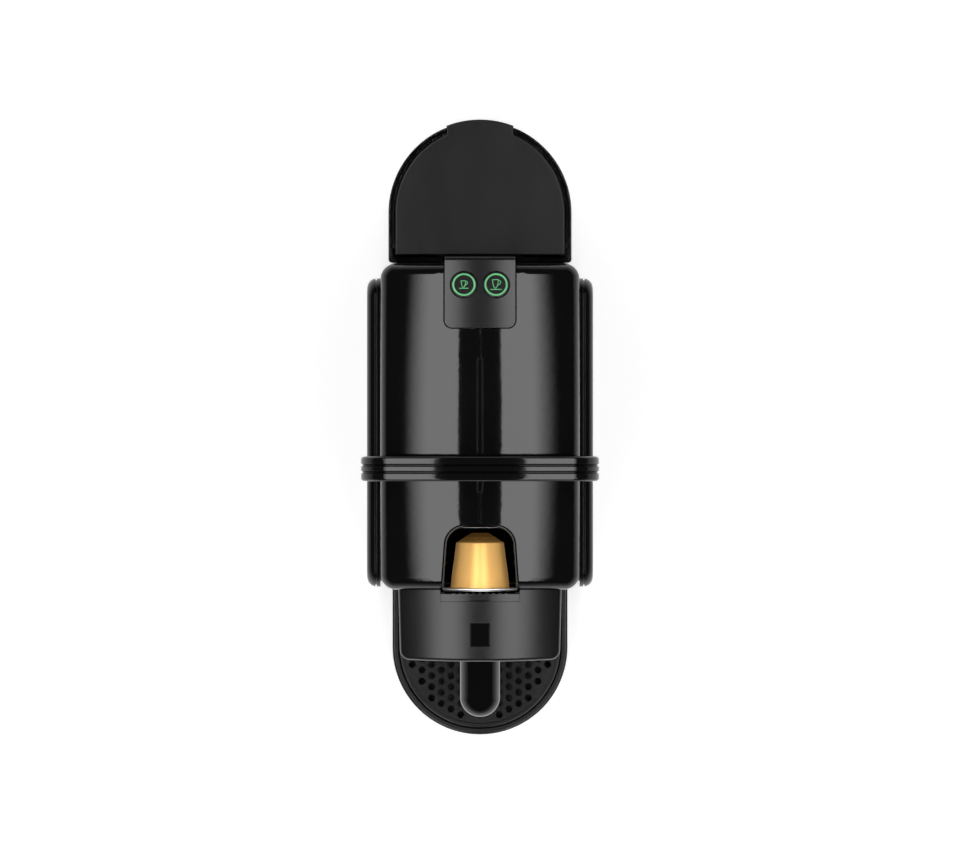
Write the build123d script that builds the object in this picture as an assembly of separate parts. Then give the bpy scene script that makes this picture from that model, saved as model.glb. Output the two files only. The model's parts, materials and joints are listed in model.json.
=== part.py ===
"""Pod coffee machine: build123d model of every separate piece, one STEP file per piece.

Millimetres. +Z is up, the front (spout and drip tray) faces -Y and the water tank stands at +Y.
The origin is on the table under the middle of the machine. The lever is raised, the brewing
carriage is back, and a pod hangs in the mouth of its slot.
"""
from build123d import *
from math import asin, atan2, cos, degrees, radians, sin, sqrt, tan
import os

# ---------------------------------------------------------------- driving dimensions
LENGTH = 321.5            # drip tray nose to the tab of the tank lid
FRONT = -160.5
REAR = FRONT + LENGTH

TOP_Z = 230.0             # highest point of the crowned housing
CROWN_ALONG = 380.0       # radius of the top, seen from the side
CROWN_ACROSS = 170.0      # radius of the top, seen from the front
FOOT_H = 2.5              # rubber foot under the base
BASE_T = 3.0              # thickness of the base plate
FLOOR_Z = FOOT_H + BASE_T  # top face of the base plate

SHELL_HALF = 51.0         # half width of the glossy housing
SHELL_FRONT, SHELL_REAR = -80.0, 87.0
SHELL_CORNER = 8.0        # corner radius in plan
SHELL_EDGE = 7.4          # rounding of the top edge
WALL = 2.5
SEAM_GAP = 0.15           # each half stops this far from the centre plane

PANEL_IN, PANEL_OUT = 51.1, 58.0   # side panel, inner and outer face
ARM_IN, ARM_OUT = 58.25, 60.6      # lever arm, inner and outer face

# lever and brewing unit
PIVOT_Y, PIVOT_Z = -18.0, 152.0    # lever axis
BAR_IN, BAR_OUT = 96.0, 104.0      # lever crossbar, distance from the axis
LEVER_W = 12.6
LEVER_TRAVEL = 53.0                # degrees from raised to closed
CARRIAGE_TRAVEL = 31.0             # stroke of the brewing carriage
BREW_Z = 187.0                     # brewing axis
CRANK_R = CARRIAGE_TRAVEL / 2 / sin(radians(LEVER_TRAVEL / 2))
PIN_Y = PIVOT_Y + CRANK_R * sin(radians(LEVER_TRAVEL / 2))
PIN_Z = PIVOT_Z + CRANK_R * cos(radians(LEVER_TRAVEL / 2))
SHAFT_R = 7.0
ROD_X, ROD_Z = 26.0, 165.5         # guide rods of the carriage
CAGE_R = 18.0
CAGE_RIM_Y = -48.1                 # open end of the cage with the carriage back

# pod
POD_R = 19.3                       # flange radius
POD_Z = BREW_Z                     # its axis, in line with the cage
POD_FLANGE_Y = -81.0               # foil face
POD_L = 29.9

# outlet head
HEAD_FRONT = -117.2
HEAD_HALF = 41.8
HEAD_BOTTOM = 128.0
HEAD_TOP_REAR, HEAD_TOP_FRONT = 209.0, 198.0
SPOUT_HALF = 10.4
SPOUT_TIP = -147.8

# slot in the housing top: half widths, and its straight rear end
SLOT_HALF_FRONT, SLOT_HALF_REAR, SLOT_REAR, SLOT_CORNER = 18.7, 16.3, -48.0, 9.0
SLIT_HALF, SLIT_FRONT, SLIT_REAR = 20.3, -82.3, -77.6
LINER_T, LINER_GAP = 1.0, 0.4

# control panel and buttons
CP_HALF, CP_FRONT, CP_REAR = 18.1, 53.8, 90.6
CP_CORNER, CP_GAP = 4.0, 0.5
BUTTON_X, BUTTON_Y, BUTTON_R = 8.2, 75.8, 6.85
BUTTON_HOLE_R = 7.15

# drip tray, cup support and pod bin
TRAY_R = 46.6
TRAY_CY = FRONT + TRAY_R           # centre of the round front
TRAY_WALL = 3.0
TRAY_TOP = 36.0
TRAY_FLOOR_Z = 5.9
TRAY_BACK = -11.0
BIN_HALF, BIN_FRONT, BIN_BACK, BIN_TOP = 42.4, -81.6, -13.9, 114.6
SUPPORT_R = 43.2
HINGE_Y, HINGE_Z = -87.5, 33.4
GRID_PITCH = 5.93
GRID_HOLE_R = 1.95

# works inside the housing
PUMP_X, PUMP_Z = -16.0, 46.0
METER_X, METER_Y = 18.0, 22.0

# water tank
TANK_R = 47.0
TANK_CY = 113.2
TANK_FRONT = 87.6
TANK_WALL = 2.6
TANK_BOTTOM, TANK_TOP = 26.3, 197.0
VALVE_Y = 112.0
LID_R = 43.5
LID_FRONT, LID_BOTTOM = 91.5, 193.6
LID_HINGE_Y, LID_HINGE_Z = 96.0, 194.4
TAB_HALF = 17.2

SIDES = (-1, 1)
parts = {}


# ---------------------------------------------------------------- helpers
def span(x0, x1, y0, y1, z0, z1):
    """Box between two corners."""
    return Pos((x0 + x1) / 2, (y0 + y1) / 2, (z0 + z1) / 2) * Box(abs(x1 - x0), abs(y1 - y0), abs(z1 - z0))


def rod_x(r, x0, x1, y, z):
    return Pos((x0 + x1) / 2, y, z) * Rot(0, 90, 0) * Cylinder(r, abs(x1 - x0))


def rod_y(r, y0, y1, x, z):
    return Pos(x, (y0 + y1) / 2, z) * Rot(90, 0, 0) * Cylinder(r, abs(y1 - y0))


def rod_z(r, z0, z1, x, y):
    return Pos(x, y, (z0 + z1) / 2) * Cylinder(r, abs(z1 - z0))


def mirrored(shape):
    """The shape and its mirror image across the centre plane, as one group."""
    return shape + mirror(shape, Plane.YZ)


def one_side(shape, side):
    """A piece drawn at +X, moved to the side asked for."""
    return shape if side > 0 else mirror(shape, Plane.YZ)


def d_plan(r, cy, y_flat, round_at):
    """D outline in plan: a half disc about (0, cy), round towards round_at, and straight sides to y_flat."""
    straight = Pos(0, (cy + y_flat) / 2) * Rectangle(2 * r, abs(cy - y_flat))
    disc = Pos(0, cy) * Circle(r)
    keep = Pos(0, cy + round_at * r) * Rectangle(2 * r, 2 * r)
    return straight + (disc & keep)


def prism(face, z0, z1):
    """A plan outline raised from z0 to z1."""
    return extrude(Pos(0, 0, z0) * face, amount=z1 - z0)


def tube(points, radii, r, bore=0.0):
    """A run of radius r along straight legs joined by tangent arcs, hollow where a bore is given."""
    legs = []
    start = Vector(*points[0])
    for corner, radius, before, after in zip(points[1:-1], radii, points[:-2], points[2:]):
        c = Vector(*corner)
        u = (Vector(*before) - c).normalized()
        v = (Vector(*after) - c).normalized()
        half_angle = radians(u.get_angle(v)) / 2
        back = radius / tan(half_angle)
        mid = c + (u + v).normalized() * (radius / sin(half_angle) - radius)
        legs.append(Edge.make_line(start, c + u * back))
        legs.append(Edge.make_three_point_arc(c + u * back, mid, c + v * back))
        start = c + v * back
    legs.append(Edge.make_line(start, Vector(*points[-1])))
    path = Wire(legs)
    section = Circle(r) - Circle(bore) if bore else Circle(r)
    return sweep(Plane(origin=path @ 0, z_dir=path % 0) * section, path=path)


def hose(points, radii, r):
    return tube(points, radii, r, r - 0.9)


def above_crown(depth):
    """Everything above the crowned top of the housing, lowered by depth."""
    across = CROWN_ACROSS - depth
    top = TOP_Z - depth
    reach = 75.0
    edge = top - across + sqrt(across ** 2 - reach ** 2)
    arc = ThreePointArc((-reach, 0, edge), (0, 0, top), (reach, 0, edge))
    roof = Polyline((reach, 0, edge), (reach, 0, TOP_Z + 60), (-reach, 0, TOP_Z + 60), (-reach, 0, edge))
    face = make_face([arc, roof])
    axis = Axis((0, 0, TOP_Z - CROWN_ALONG), (1, 0, 0))
    half_sweep = 24.0
    return revolve(face.rotate(axis, -half_sweep), axis=axis, revolution_arc=2 * half_sweep)


def top_z(x, y):
    """Height of the crowned top over a point in plan."""
    ring = CROWN_ALONG - CROWN_ACROSS + sqrt(CROWN_ACROSS ** 2 - x ** 2)
    return TOP_Z - CROWN_ALONG + sqrt(ring ** 2 - y ** 2)


def crowned_block(inset, z0):
    """Block with the housing's plan and crown, all faces moved in by inset, and a rounded top edge."""
    cy = (SHELL_FRONT + SHELL_REAR) / 2
    plan = Pos(0, cy) * RectangleRounded(2 * (SHELL_HALF - inset), SHELL_REAR - SHELL_FRONT - 2 * inset,
                                         SHELL_CORNER - inset)
    block = prism(plan, z0, TOP_Z + 20) - above_crown(inset)
    rim = block.faces().sort_by(Axis.Z)[-1].outer_wire().edges()
    return fillet(rim, SHELL_EDGE - inset)


def slot_plan(grow):
    """Plan of the pod slot, open to the front, grown all round."""
    front = SHELL_FRONT - 6.0
    half_front = SLOT_HALF_FRONT + grow
    half_rear = SLOT_HALF_REAR + grow
    rear = SLOT_REAR + grow
    body = make_face(Polyline((-half_front, front), (half_front, front), (half_front, SHELL_FRONT),
                              (half_rear, rear), (-half_rear, rear), (-half_front, SHELL_FRONT),
                              close=True))
    rear_corners = body.vertices().sort_by(Axis.Y)[-2:]
    return fillet(rear_corners, SLOT_CORNER + grow)


def save(name, shape):
    parts[name] = shape


# ---------------------------------------------------------------- housing
def seam_groove():
    """Shallow V along the centre line of the crown, where the two halves meet."""
    vee = make_face(Polyline((-0.6, 0, TOP_Z + 0.15), (0.6, 0, TOP_Z + 0.15), (0, 0, TOP_Z - 0.45), close=True))
    axis = Axis((0, 0, TOP_Z - CROWN_ALONG), (1, 0, 0))
    return revolve(vee.rotate(axis, -16), axis=axis, revolution_arc=32)


def housing():
    outer = crowned_block(0, FLOOR_Z)
    front, inside = SHELL_FRONT - 5, SHELL_FRONT + 4
    panel_bed = RectangleRounded(2 * CP_HALF + 2 * CP_GAP, CP_REAR + 10 - CP_FRONT + CP_GAP, CP_CORNER + CP_GAP)
    cuts = [
        crowned_block(WALL, FLOOR_Z - 10),
        span(-TRAY_R - 0.5, TRAY_R + 0.5, front, -66, FLOOR_Z - 1, TRAY_TOP + 1),
        span(-BIN_HALF - 0.7, BIN_HALF + 0.7, front, -66, FLOOR_Z - 1, BIN_TOP + 3),
        span(-39.2, 39.2, front, inside, 136, 200),
        span(-SLIT_HALF, SLIT_HALF, front, SLIT_REAR, 150, TOP_Z + 5),
        prism(slot_plan(LINER_T + LINER_GAP), 190, TOP_Z + 5),
        prism(Pos(0, (CP_FRONT - CP_GAP + CP_REAR + 10) / 2) * panel_bed, 203.7, TOP_Z + 5),
        prism(Pos(0, 4.0) * SlotOverall(68.8, 3.0, rotation=90), 215, TOP_Z + 5) & above_crown(1.3),
        rod_x(SHAFT_R + 0.6, -60, 60, PIVOT_Y, PIVOT_Z),
        span(-16, 16, SHELL_REAR - 5, SHELL_REAR + 5, 7, 24),
        seam_groove(),
    ]
    for side, name in zip(SIDES, ("left_shell", "right_shell")):
        half = outer & one_side(span(SEAM_GAP, 80, -200, 200, 0, 300), side)
        for cut in cuts:
            half -= cut
        if side > 0:
            for y, z in ((10.0, 46.0), (74.0, 46.0), (10.0, 114.0), (74.0, 114.0)):
                half += rod_x(3.0, 44.2, SHELL_HALF - WALL / 2, y, z)
        save(name, half)

    strip = prism(Pos(0, 4.0) * SlotOverall(68.2, 2.4, rotation=90), 215, TOP_Z + 5)
    save("seam_strip", (strip & above_crown(1.2)) - above_crown(-0.25))


def side_panel():
    """Rounded cover on each side, hollow behind, with a shadow groove round its edge."""
    y0, y1, z0, z1, corner = -78.8, 79.6, 14.0, 206.0, 11.0
    cy, cz = (y0 + y1) / 2, (z0 + z1) / 2

    def outline(grow, x):
        return Plane.YZ.offset(x) * Pos(cy, cz) * RectangleRounded(y1 - y0 + 2 * grow, z1 - z0 + 2 * grow, corner + grow)

    panel = extrude(outline(0, PANEL_IN), amount=PANEL_OUT - PANEL_IN)
    rim = panel.faces().sort_by(Axis.X)[-1].edges()
    panel = fillet(rim, 5.0)
    groove_x = 52.9
    ring = extrude(outline(1, groove_x), amount=0.8) - extrude(outline(-0.9, groove_x - 1), amount=3)
    panel -= ring
    panel -= extrude(outline(-2.6, PANEL_IN - 1), amount=PANEL_OUT - 2.2 - PANEL_IN + 1)
    boss = rod_x(12, PANEL_IN, PANEL_OUT - 1, PIVOT_Y, PIVOT_Z)
    panel += boss
    panel -= rod_x(SHAFT_R + 0.6, PANEL_IN - 1, PANEL_OUT + 1, PIVOT_Y, PIVOT_Z)
    for side, name in zip(SIDES, ("left_side_panel", "right_side_panel")):
        save(name, one_side(panel, side))


def base():
    cy = (SHELL_FRONT + SHELL_REAR) / 2
    plate = Pos(0, cy) * RectangleRounded(2 * SHELL_HALF, SHELL_REAR - SHELL_FRONT, SHELL_CORNER)
    tongue_r = 41.0
    tongue = d_plan(tongue_r, TRAY_CY, SHELL_FRONT + 5, -1)
    rear = d_plan(TANK_R - 1.5, TANK_CY, SHELL_REAR - 5, 1)
    plate = prism(plate + tongue + rear, FOOT_H, FLOOR_Z)
    for row in range(5):
        y = 8.0 + row * 9.0
        plate -= prism(Pos(22, y) * SlotOverall(30, 3.4), 0, 10)
    feet_at = [(x, y) for x in (-30, 30) for y in (-118, 126)] + [(x, 0) for x in (-38, 38)]
    for x, y in feet_at:
        plate -= rod_z(5.0, FOOT_H - 1, FOOT_H + 1.5, x, y)
    save("base_plate", plate)
    feet = [rod_z(8.0, 0, FOOT_H, x, y) + rod_z(4.9, FOOT_H, FOOT_H + 1.4, x, y) for x, y in feet_at]
    save("rubber_feet", Compound(children=feet))


# ---------------------------------------------------------------- outlet head and spout
def head_plan(inset):
    half_rear, half_front = HEAD_HALF - inset, HEAD_HALF - 0.8 - inset
    front = HEAD_FRONT + inset
    bow = 1.1
    rear = SHELL_FRONT - 0.15
    outline = Polyline((-half_front, front + bow), (-half_rear, rear), (half_rear, rear), (half_front, front + bow))
    nose = ThreePointArc((half_front, front + bow), (0, front), (-half_front, front + bow))
    face = make_face([outline, nose])
    return fillet(face.vertices().sort_by(Axis.Y)[:2], 5.0 - inset * 0.8)


def above_head(depth):
    """Everything above the head's sloping, crowned top, lowered by depth."""
    reach, across = 60.0, 150.0 - depth
    sag = across - sqrt(across ** 2 - reach ** 2)
    arc = ThreePointArc((-reach, 0, -depth - sag), (0, 0, -depth), (reach, 0, -depth - sag))
    roof = Polyline((reach, 0, -depth - sag), (reach, 0, 70), (-reach, 0, 70), (-reach, 0, -depth - sag))
    slope = degrees(asin((HEAD_TOP_REAR - HEAD_TOP_FRONT) / (SHELL_FRONT - HEAD_FRONT)))
    block = extrude(make_face([arc, roof]), amount=60, both=True, dir=(0, 1, 0))
    return Pos(0, SHELL_FRONT, HEAD_TOP_REAR) * Rot(slope, 0, 0) * block


def outlet_head():
    head = prism(head_plan(0), HEAD_BOTTOM, HEAD_TOP_REAR + 5) - above_head(0)
    top = head.faces().sort_by(Axis.Z)[-1]
    rim = [e for e in top.edges() if e.center().Y < SHELL_FRONT - 1]
    head = fillet(rim, 2.2)
    cavity = prism(head_plan(WALL), HEAD_BOTTOM + WALL, HEAD_TOP_REAR + 5) - above_head(WALL)
    head -= cavity
    head -= span(-HEAD_HALF + WALL, HEAD_HALF - WALL, SHELL_FRONT - 2, SHELL_FRONT + 2, HEAD_BOTTOM + WALL, 190)
    head -= span(-SLIT_HALF, SLIT_HALF, SLIT_FRONT, SHELL_FRONT + 2, 170, HEAD_TOP_REAR + 5)
    rest = span(-SLIT_HALF, SLIT_HALF, SLIT_FRONT - 4.0, SLIT_FRONT, 190, 215) & above_head(0.35)
    catch = span(-4.7, 4.7, SLIT_FRONT - 3.7, SLIT_FRONT - 0.6, 190, 215) & above_head(1.1)
    badge = span(-5.1, 5.1, -109.4, -97.4, 190, 215) & above_head(0.9)
    head -= rest + catch + badge
    duct_hole = span(-7.5, 7.5, -115.5, -100.5, HEAD_BOTTOM - 1, HEAD_BOTTOM + WALL + 1)
    head -= duct_hole
    front_door = span(-SPOUT_HALF + 2, SPOUT_HALF - 2, HEAD_FRONT - 1, HEAD_FRONT + WALL + 1, HEAD_BOTTOM - 1, 142)
    head -= front_door
    save("outlet_head", head)
    plate = span(-4.85, 4.85, -109.15, -97.65, 190, 215) & above_head(0.9)
    save("front_badge", plate - above_head(0.1))


def spout_plan(inset, rear):
    half = SPOUT_HALF - inset
    return d_plan(half, SPOUT_TIP + SPOUT_HALF, rear, -1)


def spout():
    """Rounded nose in front of the head, with a channel that ends in one outlet."""
    rear = HEAD_FRONT - 0.15
    nose = prism(spout_plan(0, rear), 119.0, 149.0)
    slope = 26.0
    lid = Pos(0, rear, 148.5) * Rot(slope, 0, 0) * Pos(0, -30, 20) * Box(60, 100, 40)
    nose -= lid
    crest = nose.faces().sort_by(Axis.Z)[-1]
    nose = fillet([e for e in crest.edges() if e.center().Y < rear - 0.5], 7.0)
    channel = prism(spout_plan(2.0, rear + 5), 121.0, 149.0) - Pos(0, 0, -2.2) * lid
    crown_keep = Pos(0, rear, 148.5) * Rot(slope, 0, 0) * Pos(0, -30, -23.5) * Box(60, 100, 40)
    nose -= channel & crown_keep
    nose -= rod_z(3.6, 110, 125, 0, SPOUT_TIP + SPOUT_HALF + 1)
    lip = rod_z(5.2, 116.5, 121.0, 0, SPOUT_TIP + SPOUT_HALF + 1) - rod_z(3.6, 110, 125, 0, SPOUT_TIP + SPOUT_HALF + 1)
    save("coffee_spout", nose + lip)


def coffee_duct():
    """Channel from the extraction plate down to the spout, inside the head."""
    port_z = BREW_Z - 12
    funnel = span(-7, 7, -114.3, -101.2, 131, port_z + 8)
    funnel -= span(-5.4, 5.4, -112.7, -102.8, 133, port_z + 12)
    funnel -= span(-5.4, 5.4, -115, -111, 133, 141)
    funnel -= rod_y(4.0, -104, -99, 0, port_z)
    pipe = rod_y(5.5, -101.2, -91.2, 0, port_z) - rod_y(4.0, -105, -90, 0, port_z)
    save("coffee_duct", funnel + pipe)


# ---------------------------------------------------------------- pod slot, pod and brewing unit
def slot_liner():
    """Black lip round the slot, standing just proud of the housing."""
    ring = prism(slot_plan(LINER_T), 206, TOP_Z + 5) - prism(slot_plan(0), 200, TOP_Z + 6)
    ring &= span(-40, 40, SLIT_REAR + 0.2, 0, 150, 260)
    ring -= above_crown(-0.25)
    lip = ring.faces().sort_by(Axis.Z)[-1]
    long_edges = [e for e in lip.edges() if e.length > 2.0]
    save("slot_liner", fillet(long_edges, 0.4))


def pod():
    """Aluminium pod lying on its side, foil to the front; its axis runs along Y."""
    body_r, neck_r, shoulder_r, tip_r = 14.9, 14.7, 12.0, 4.2
    foil_t, wall = 0.4, 0.45
    flange_back = POD_FLANGE_Y + 1.2
    shoulder_y = POD_FLANGE_Y + 25.1
    tip_y = POD_FLANGE_Y + POD_L

    def cup(inset, start):
        """Half section of the pod, shrunk by inset, turned about its axis."""
        pts = [(0, start), (body_r - inset, start), (neck_r - inset, flange_back + 1.5),
               (shoulder_r - inset, shoulder_y), (tip_r - inset * 0.5, tip_y - inset), (0, tip_y - inset)]
        return make_face(Polyline(*pts, close=True))

    def turned(face):
        solid = revolve(face, axis=Axis.Y)
        return Pos(0, 0, POD_Z) * solid

    shell = turned(cup(0, POD_FLANGE_Y + foil_t)) - turned(cup(wall, POD_FLANGE_Y))
    flange = rod_y(POD_R, POD_FLANGE_Y + foil_t, flange_back, 0, POD_Z)
    flange -= rod_y(body_r - 0.3, POD_FLANGE_Y, flange_back + 1, 0, POD_Z)
    save("pod_shell", shell + flange)
    save("pod_foil", rod_y(POD_R - 0.4, POD_FLANGE_Y, POD_FLANGE_Y + foil_t, 0, POD_Z))


def brew_frame():
    """Two side plates joined at the front and back, round the carriage."""
    plate = span(36, 38.5, -88, 16, 138, 197) + span(36, 38.5, -74, 16, 190, 206)
    plate -= rod_x(9.5, 30, 45, PIVOT_Y, PIVOT_Z)
    plate -= prism(Pos(37, -62) * Rectangle(6, 14), 165, 188)
    plate += span(36, 41, -60, 14, 129.7, 138)
    frame = mirrored(plate)
    front = span(-38.5, 38.5, -91, -86.6, 150, 197) + span(-16, 16, -91, -86.6, 190, 201)
    front -= rod_y(4.2, -95, -85, 0, BREW_Z - 12)
    rear = span(-36, 36, 13.6, 16, 150, 206) - rod_y(4.7, 10, 20, 0, BREW_Z)
    save("brew_frame", frame + front + rear)
    bush = rod_x(9.4, 35.4, 39.3, PIVOT_Y, PIVOT_Z) + rod_x(11.5, 38.6, 39.6, PIVOT_Y, PIVOT_Z)
    bush -= rod_x(SHAFT_R + 0.05, 30, 45, PIVOT_Y, PIVOT_Z)
    sleeve = rod_y(4.5, -9.4, 27.0, 0, BREW_Z) - rod_y(2.8, -10, 25.5, 0, BREW_Z)
    sleeve -= rod_y(1.6, 20, 30, 0, BREW_Z)
    save("brass_bushes", Compound(children=[*mirrored(bush).solids(), *sleeve.solids()]))
    save("guide_rods", mirrored(rod_y(2.5, -86.5, 13.5, ROD_X, ROD_Z)))


def extraction_plate():
    """Disc with a field of small pyramids that tear the foil, and one outlet low down."""
    disc = rod_y(16.4, -86.5, -83.2, 0, BREW_Z)
    pitch, half = 3.4, 0.9
    for i in range(-4, 5):
        for k in range(-4, 5):
            x, z = i * pitch, k * pitch
            if x * x + z * z < 14.6 ** 2:
                disc += span(x - half, x + half, -83.4, -82.4, BREW_Z + z - half, BREW_Z + z + half)
    disc -= rod_y(2.2, -90, -80, 0, BREW_Z - 12)
    save("extraction_plate", disc)


def pod_guide():
    """Grooved rails that lead the pod's flange down to the brewing axis, with a ledge under it."""
    low = BREW_Z - 24
    rail = span(18.4, 22.5, -84.2, -77.0, low, BREW_Z + 13)
    rail -= span(15, POD_R + 1.0, -81.6, -79.3, low - 5, TOP_Z)
    ledge = span(8.0, 18.6, -82.2, -79.2, low, low + 6.2)
    foot = span(18.4, 36.0, -84.2, -81.8, low + 6.5, low + 13)
    save("pod_guide", mirrored(rail + ledge + foot))


def carriage():
    """Everything the lever drives forward: cage, seal, needles, yoke and feed tube."""
    rim, back = CAGE_RIM_Y, -13.0
    cage = rod_y(CAGE_R, rim, back, 0, BREW_Z)
    for i in range(12):
        turn = Pos(0, 0, BREW_Z) * Rot(0, i * 30 + 15, 0) * Pos(CAGE_R + 0.6, (rim + back) / 2 + 3, 0)
        cage -= turn * Rot(90, 0, 0) * Cylinder(1.4, back - rim - 6)
    bore = make_face(Polyline((0, rim - 1), (15.5, rim - 1), (15.3, rim + 3), (12.9, -17.4), (0, -17.4), close=True))
    cage -= Pos(0, 0, BREW_Z) * revolve(bore, axis=Axis.Y)
    cage -= rod_y(3.0, -20, -10, 0, BREW_Z)
    save("brew_cage", cage)
    seal = rod_y(17.2, rim - 0.4, rim, 0, BREW_Z) - rod_y(15.9, rim - 1, rim + 1, 0, BREW_Z)
    save("cage_seal", seal)

    disc = rod_y(11.0, -18.6, -17.4, 0, BREW_Z)
    for i in range(3):
        needle = Pos(0, 0, BREW_Z) * Rot(0, 90 + i * 120, 0) * Pos(6.0, -19.5, 0) * Rot(90, 0, 0)
        disc += needle * Cone(1.1, 0.15, 1.9)
    disc -= rod_y(1.5, -20, -10, 0, BREW_Z)
    save("piercing_plate", disc)

    cross = span(-29.4, 29.4, -12.9, -10.2, ROD_Z - 4.5, 203) - rod_y(3.0, -20, 0, 0, BREW_Z)
    arm = span(24.5, 28.6, -10.3, 5.0, 171, 194)
    arm -= span(20, 32, PIN_Y - 3.2, PIN_Y + 3.2, PIN_Z - 3.6, PIN_Z + 7.4)
    yoke = cross + mirrored(arm)
    yoke -= mirrored(rod_y(2.6, -20, 0, ROD_X, ROD_Z))
    save("carriage_yoke", yoke)
    feed = rod_y(2.5, -16.0, 24.0, 0, BREW_Z) + rod_y(2.95, -14.5, -11.5, 0, BREW_Z)
    feed -= rod_y(1.3, -20, 30, 0, BREW_Z)
    save("feed_tube", feed)


# ---------------------------------------------------------------- lever
def lever():
    """Hoop over the housing: a ribbed, crowned crossbar that curves down into two thin arms."""
    top, inner_top = PIVOT_Z + BAR_OUT, PIVOT_Z + BAR_IN
    bend_out, bend_in = 15.0, 11.0

    def arch(x_half, z_top, crown, bend, z_low):
        """Hoop line from the left foot to the right one: straight sides, rounded corners, crowned top."""
        centre_z = z_top - crown
        knee_x = x_half - bend
        knee_z = centre_z + sqrt((crown - bend) ** 2 - knee_x ** 2)
        reach = crown / (crown - bend)
        touch_x, touch_z = knee_x * reach, centre_z + (knee_z - centre_z) * reach
        start = atan2(touch_z - knee_z, touch_x - knee_x)
        mid_x, mid_z = knee_x + bend * cos(start / 2), knee_z + bend * sin(start / 2)
        roof = ThreePointArc((-touch_x, 0, touch_z), (0, 0, z_top), (touch_x, 0, touch_z))
        right = ThreePointArc((touch_x, 0, touch_z), (mid_x, 0, mid_z), (x_half, 0, knee_z))
        left = ThreePointArc((-x_half, 0, knee_z), (-mid_x, 0, mid_z), (-touch_x, 0, touch_z))
        up = Line((-x_half, 0, z_low), (-x_half, 0, knee_z))
        down = Line((x_half, 0, knee_z), (x_half, 0, z_low))
        return [up, left, roof, right, down]

    def slab(line, y_half):
        """Everything under the hoop line, y_half to each side."""
        foot = Line(line[-1] @ 1, line[0] @ 0)
        return extrude(make_face([*line, foot]), amount=y_half, both=True, dir=(0, 1, 0))

    outside = slab(arch(ARM_OUT, top, 390.0, bend_out, PIVOT_Z), LEVER_W / 2)
    long_edges = [e for e in outside.edges()
                  if abs(abs(e.center().Y) - LEVER_W / 2) < 0.01 and e.center().Z > PIVOT_Z + 1]
    outside = fillet(long_edges, 1.6)
    body = outside - slab(arch(ARM_IN, inner_top, 382.0, bend_in, PIVOT_Z - 5), LEVER_W)
    groove_line = Wire(arch(ARM_OUT, top, 390.0, bend_out, 186))
    groove_start = Plane(origin=groove_line @ 0, x_dir=(1, 0, 0), z_dir=groove_line % 0)
    vee = make_face(Polyline((-0.3, -1.0), (1.0, 0), (-0.3, 1.0), close=True))
    groove = sweep(groove_start * vee, path=groove_line)
    for dy in (-1.8, 1.8):
        body -= Pos(0, dy, 0) * groove
    body = Pos(0, PIVOT_Y, 0) * body
    hub = rod_x(LEVER_W / 2, ARM_IN, ARM_OUT, PIVOT_Y, PIVOT_Z)
    hub = fillet(hub.faces().sort_by(Axis.X)[-1].edges(), 0.8)
    body += mirrored(hub)
    cap_r, cap_t = 4.4, 0.9
    socket = rod_x(cap_r + 0.1, ARM_OUT - cap_t, ARM_OUT + 1, PIVOT_Y, PIVOT_Z)
    save("lever_handle", body - mirrored(socket))
    cap = rod_x(cap_r, ARM_OUT - cap_t, ARM_OUT, PIVOT_Y, PIVOT_Z)
    cap = fillet(cap.faces().sort_by(Axis.X)[-1].edges(), 0.4)
    save("lever_caps", mirrored(cap))

    dy, dz = PIN_Y - PIVOT_Y, PIN_Z - PIVOT_Z
    web = SlotCenterToCenter(CRANK_R, 12.0, rotation=90 - LEVER_TRAVEL / 2)
    arm = extrude(Plane.YZ.offset(30.0) * Pos(PIVOT_Y + dy / 2, PIVOT_Z + dz / 2) * web, amount=4.0)
    crank = arm + rod_x(10.5, 30.0, 34.0, PIVOT_Y, PIVOT_Z) + rod_x(2.5, 24.6, 30.5, PIN_Y, PIN_Z)
    crank += rod_x(SHAFT_R, 33.5, ARM_IN, PIVOT_Y, PIVOT_Z)
    save("lever_cranks", mirrored(crank))


# ---------------------------------------------------------------- control panel and buttons
def key_frame():
    """Local frame of the buttons: Z along the housing's normal there."""
    lean = degrees(asin(BUTTON_Y / CROWN_ALONG))
    return Pos(0, BUTTON_Y, top_z(0, BUTTON_Y)) * Rot(-lean, 0, 0)


def control_panel():
    plan = Pos(0, (CP_FRONT + CP_REAR + 8) / 2) * RectangleRounded(2 * CP_HALF, CP_REAR + 8 - CP_FRONT, CP_CORNER)
    plan = plan & Rectangle(80, 2 * CP_REAR)
    panel = prism(plan, 204.0, TOP_Z + 10) - above_crown(-0.3)
    rear_edge = [e for e in panel.edges() if e.center().Y > CP_REAR - 0.1 and abs(e.tangent_at(0.5).X) > 0.9
                 and e.center().Z > 212]
    panel = fillet(rear_edge, 3.0)
    panel -= span(-CP_HALF - 5, CP_HALF + 5, 0, SHELL_REAR + 0.3, 195, TOP_Z) - above_crown(2.4)
    frame = key_frame()
    for side in SIDES:
        panel -= frame * Pos(side * BUTTON_X, 0, 0) * Rot(0, 0, 90 * side) * Cylinder(BUTTON_HOLE_R, 8)
    save("control_panel", panel.solids()[0].fix())


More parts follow.
